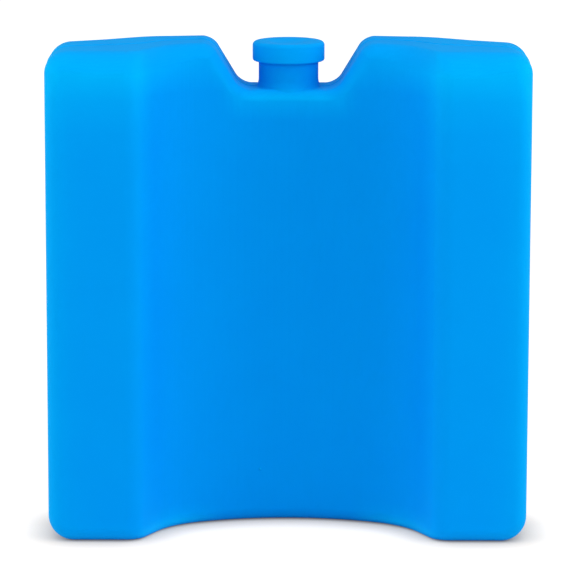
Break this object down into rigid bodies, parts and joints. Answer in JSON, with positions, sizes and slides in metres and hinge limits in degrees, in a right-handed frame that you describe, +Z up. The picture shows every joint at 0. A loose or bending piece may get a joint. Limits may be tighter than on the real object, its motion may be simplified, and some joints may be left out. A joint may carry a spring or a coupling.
{
  "type": "reusable ice pack",
  "caption": "Upright blow-moulded cooler pack with a concave bottle recess in front, flat wings, a notched top and a press-on filler cap on a short neck.",
  "frame": {"origin": "middle of the footprint, on the surface that the pack stands on", "axes": "+Z up towards the filler cap; -Y is the concave front where a bottle nests; +Y is the flat back; X runs from wing to wing"},
  "size_m": [0.1784, 0.061, 0.1832],
  "materials": {
    "body": "smooth satin blow-moulded polyethylene",
    "cap": "smooth satin injection-moulded polyethylene"
  },
  "bodies": {
    "root": {"pack_body": "body", "filler_cap": "cap"}
  },
  "joints": []
}
